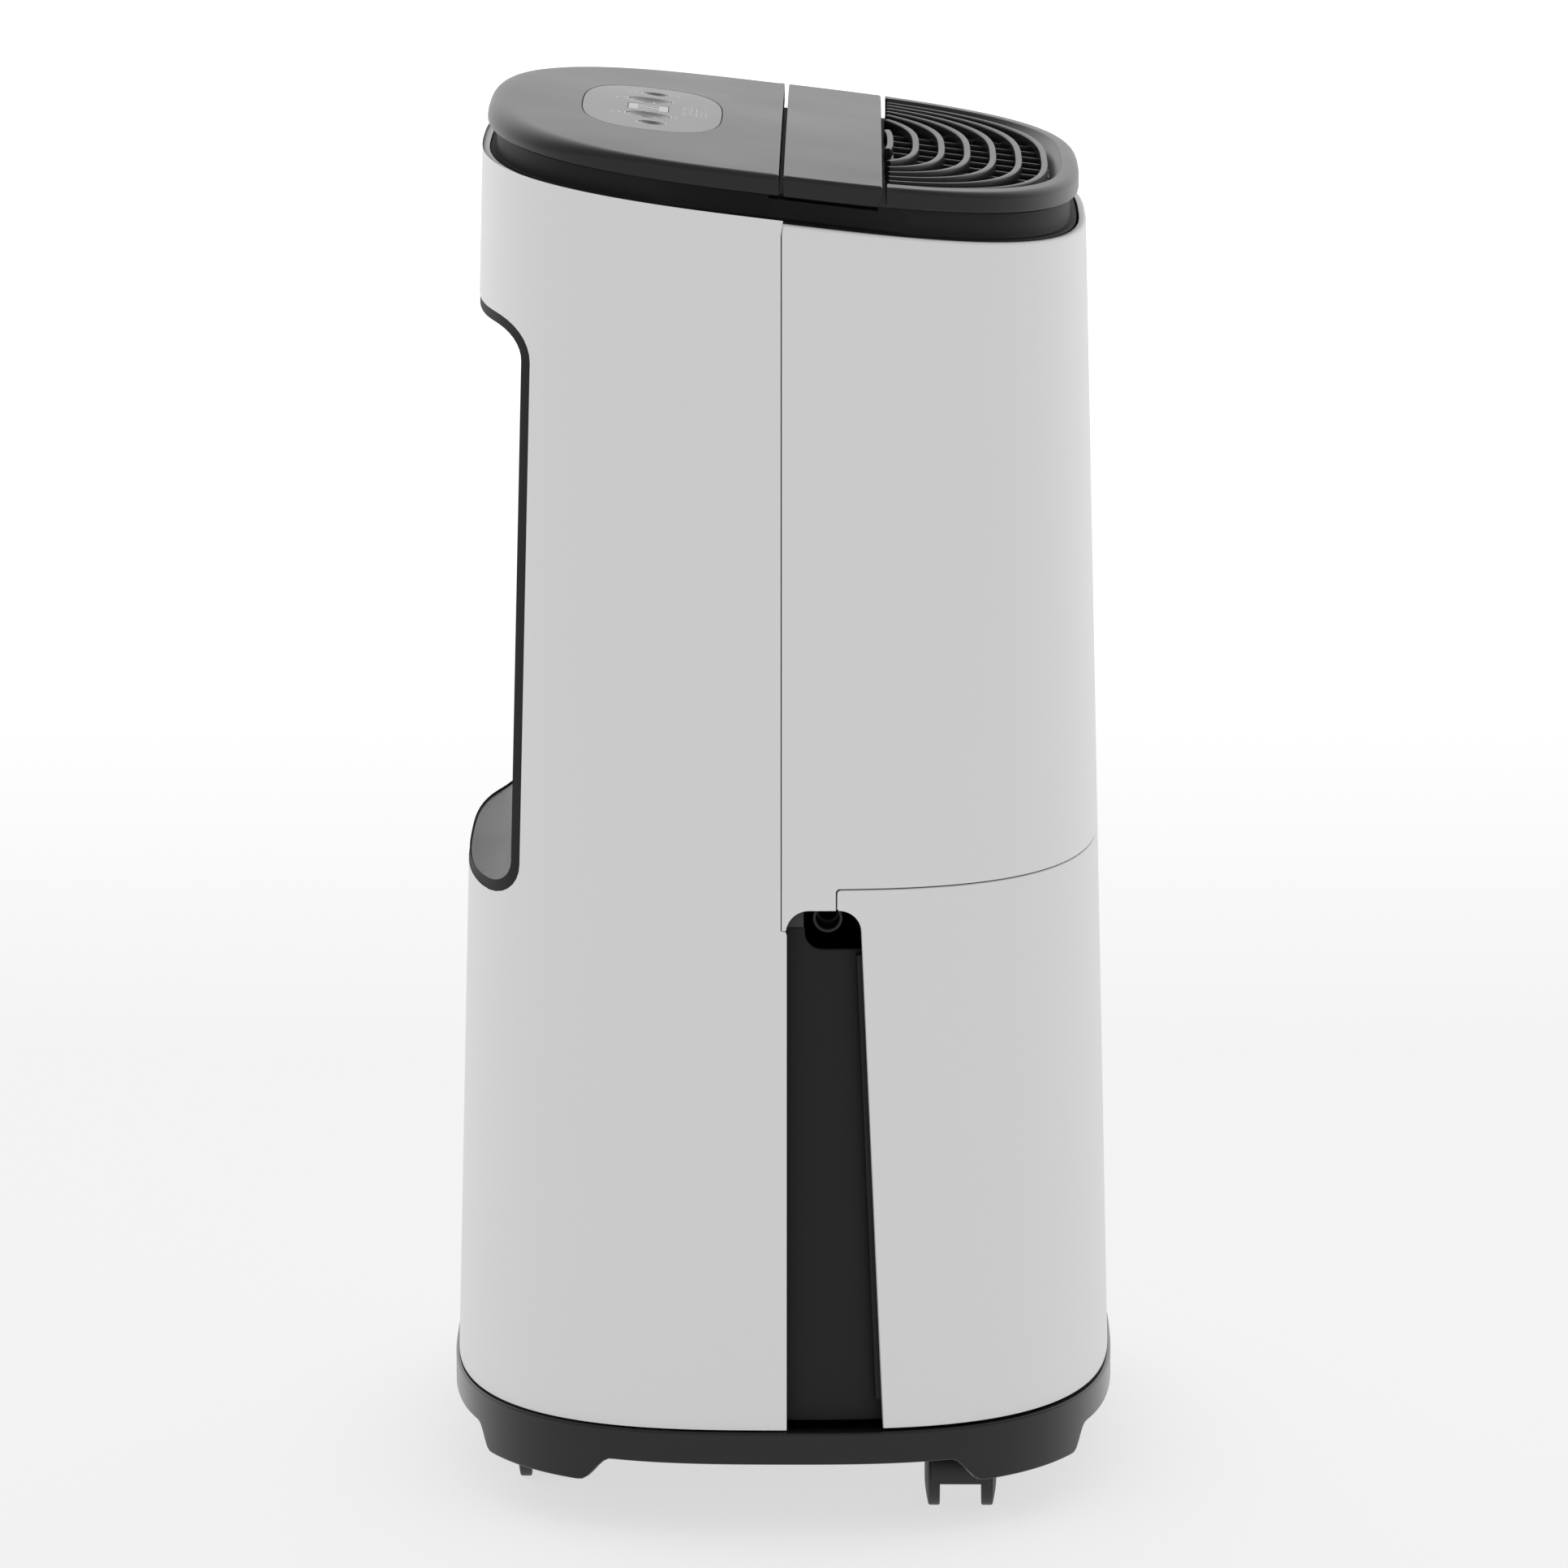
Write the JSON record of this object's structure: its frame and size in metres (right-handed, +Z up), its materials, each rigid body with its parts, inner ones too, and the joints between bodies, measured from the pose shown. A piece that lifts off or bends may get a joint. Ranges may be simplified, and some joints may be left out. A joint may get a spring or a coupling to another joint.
{
  "type": "dehumidifier",
  "caption": "Upright room dehumidifier on castors with a white oval body, dark sloped top with buttons, outlet grille, lift handle and pull-out water tank.",
  "frame": {"origin": "on the floor under the middle of the body", "axes": "+Z up, -Y towards the tank and the outlet grille, +Y towards the air inlet and the buttons, X across the wide side"},
  "size_m": [0.2902, 0.2262, 0.4684],
  "materials": {
    "shell_white": "satin",
    "lid_grey": "fine texture",
    "panel_grey": "fine texture",
    "dark_plastic": "satin",
    "liner_grey": "satin",
    "grille_dark": "satin",
    "inlet_grey": "satin",
    "display_black": "gloss",
    "button_grey": "satin",
    "board_green": "satin",
    "switch_black": "matte",
    "bucket_dark": "satin",
    "float_foam": "matte",
    "sheet_steel": "galvanised",
    "axle_steel": "ground",
    "screw_steel": "zinc plated",
    "fin_aluminium": "rolled",
    "tube_copper": "drawn copper",
    "compressor_black": "gloss enamel",
    "rubber_black": "matte",
    "tread_black": "matte",
    "filter_mesh": "woven",
    "duct_grey": "satin",
    "fan_white": "satin",
    "capacitor_white": "gloss"
  },
  "bodies": {
    "case": {"base_tray": "dark_plastic", "rear_shell": "shell_white", "front_shell": "shell_white", "recess_liner": "liner_grey", "neck_collar": "dark_plastic", "control_housing": "lid_grey", "control_panel": "panel_grey", "display_window": "display_black", "control_board": "board_green", "button_switches": "switch_black", "outlet_grille": "grille_dark", "handle_sleeves": "dark_plastic", "bulkhead": "sheet_steel", "deck": "duct_grey", "drip_tray": "duct_grey", "drain_spout": "duct_grey", "evaporator_fins": "fin_aluminium", "evaporator_tube": "tube_copper", "condenser_fins": "fin_aluminium", "condenser_tube": "tube_copper", "coil_shroud": "duct_grey", "fan_housing": "duct_grey", "air_duct": "duct_grey", "fan_motor": "sheet_steel", "compressor": "compressor_black", "compressor_mounts": "rubber_black", "accumulator": "compressor_black", "refrigerant_pipes": "tube_copper", "capacitor": "capacitor_white", "humidity_sensor": "duct_grey", "cord_gland": "rubber_black", "base_screws": "screw_steel", "collar_screws": "screw_steel"},
    "handle": {"handle": "lid_grey"},
    "tank": {"tank_bucket": "bucket_dark", "tank_cover": "shell_white", "float_pin": "axle_steel"},
    "tank_float": {"float": "float_foam"},
    "inlet": {"inlet_grille": "inlet_grey", "filter_frame": "bucket_dark", "filter_mesh": "filter_mesh"},
    "fan": {"fan_wheel": "fan_white", "fan_shaft": "axle_steel"},
    "button_power": {"button_power": "button_grey"},
    "button_mode": {"button_mode": "button_grey"},
    "button_timer": {"button_timer": "button_grey"},
    "button_fan": {"button_fan": "button_grey"},
    "castor_front_left": {"castor_front_left": "dark_plastic"},
    "wheels_front_left": {"wheels_front_left": "tread_black", "axle_front_left": "axle_steel"},
    "castor_front_right": {"castor_front_right": "dark_plastic"},
    "wheels_front_right": {"wheels_front_right": "tread_black", "axle_front_right": "axle_steel"},
    "castor_rear_left": {"castor_rear_left": "dark_plastic"},
    "wheels_rear_left": {"wheels_rear_left": "tread_black", "axle_rear_left": "axle_steel"},
    "castor_rear_right": {"castor_rear_right": "dark_plastic"},
    "wheels_rear_right": {"wheels_rear_right": "tread_black", "axle_rear_right": "axle_steel"}
  },
  "joints": [
    {"name": "handle_lift", "type": "slide", "parent": "case", "child": "handle", "axis": [0, 0, 1], "range_m": [0, 0.038]},
    {"name": "tank_pull", "type": "slide", "parent": "case", "child": "tank", "axis": [0, -1, 0], "range_m": [0, 0.2]},
    {"name": "float_rise", "type": "hinge", "parent": "tank", "child": "tank_float", "pos_m": [0.04, -0.0107, 0.1834], "axis": [-1, 0, 0], "range_deg": [0, 15]},
    {"name": "inlet_open", "type": "hinge", "parent": "case", "child": "inlet", "pos_m": [0, 0.0902, 0.2195], "axis": [-1, 0, 0], "range_deg": [0, 35]},
    {"name": "fan_spin", "type": "hinge", "parent": "case", "child": "fan", "pos_m": [0, -0.03, 0.31995], "axis": [0, 1, 0], "continuous": true},
    {"name": "press_power", "type": "slide", "parent": "case", "child": "button_power", "axis": [0, 0.1184, -0.993], "range_m": [0, 0.0008], "stiffness_N_per_m": 500, "springref_m": -0.0008},
    {"name": "press_mode", "type": "slide", "parent": "case", "child": "button_mode", "axis": [0, 0.1184, -0.993], "range_m": [0, 0.0008], "stiffness_N_per_m": 500, "springref_m": -0.0008},
    {"name": "press_timer", "type": "slide", "parent": "case", "child": "button_timer", "axis": [0, 0.1184, -0.993], "range_m": [0, 0.0008], "stiffness_N_per_m": 500, "springref_m": -0.0008},
    {"name": "press_fan", "type": "slide", "parent": "case", "child": "button_fan", "axis": [0, 0.1184, -0.993], "range_m": [0, 0.0008], "stiffness_N_per_m": 500, "springref_m": -0.0008},
    {"name": "swivel_front_left", "type": "hinge", "parent": "case", "child": "castor_front_left", "pos_m": [-0.10502, -0.0604, 0.034], "axis": [0, 0, 1], "continuous": true},
    {"name": "roll_front_left", "type": "hinge", "parent": "castor_front_left", "child": "wheels_front_left", "pos_m": [-0.10002, -0.0604, 0.013], "axis": [0, 1, 0], "continuous": true},
    {"name": "swivel_front_right", "type": "hinge", "parent": "case", "child": "castor_front_right", "pos_m": [0.10502, -0.0604, 0.034], "axis": [0, 0, 1], "continuous": true},
    {"name": "roll_front_right", "type": "hinge", "parent": "castor_front_right", "child": "wheels_front_right", "pos_m": [0.11002, -0.0604, 0.013], "axis": [0, 1, 0], "continuous": true},
    {"name": "swivel_rear_left", "type": "hinge", "parent": "case", "child": "castor_rear_left", "pos_m": [-0.0688, 0.0785, 0.034], "axis": [0, 0, 1], "continuous": true},
    {"name": "roll_rear_left", "type": "hinge", "parent": "castor_rear_left", "child": "wheels_rear_left", "pos_m": [-0.0638, 0.0785, 0.013], "axis": [0, 1, 0], "continuous": true},
    {"name": "swivel_rear_right", "type": "hinge", "parent": "case", "child": "castor_rear_right", "pos_m": [0.0688, 0.0785, 0.034], "axis": [0, 0, 1], "continuous": true},
    {"name": "roll_rear_right", "type": "hinge", "parent": "castor_rear_right", "child": "wheels_rear_right", "pos_m": [0.0738, 0.0785, 0.013], "axis": [0, 1, 0], "continuous": true}
  ]
}
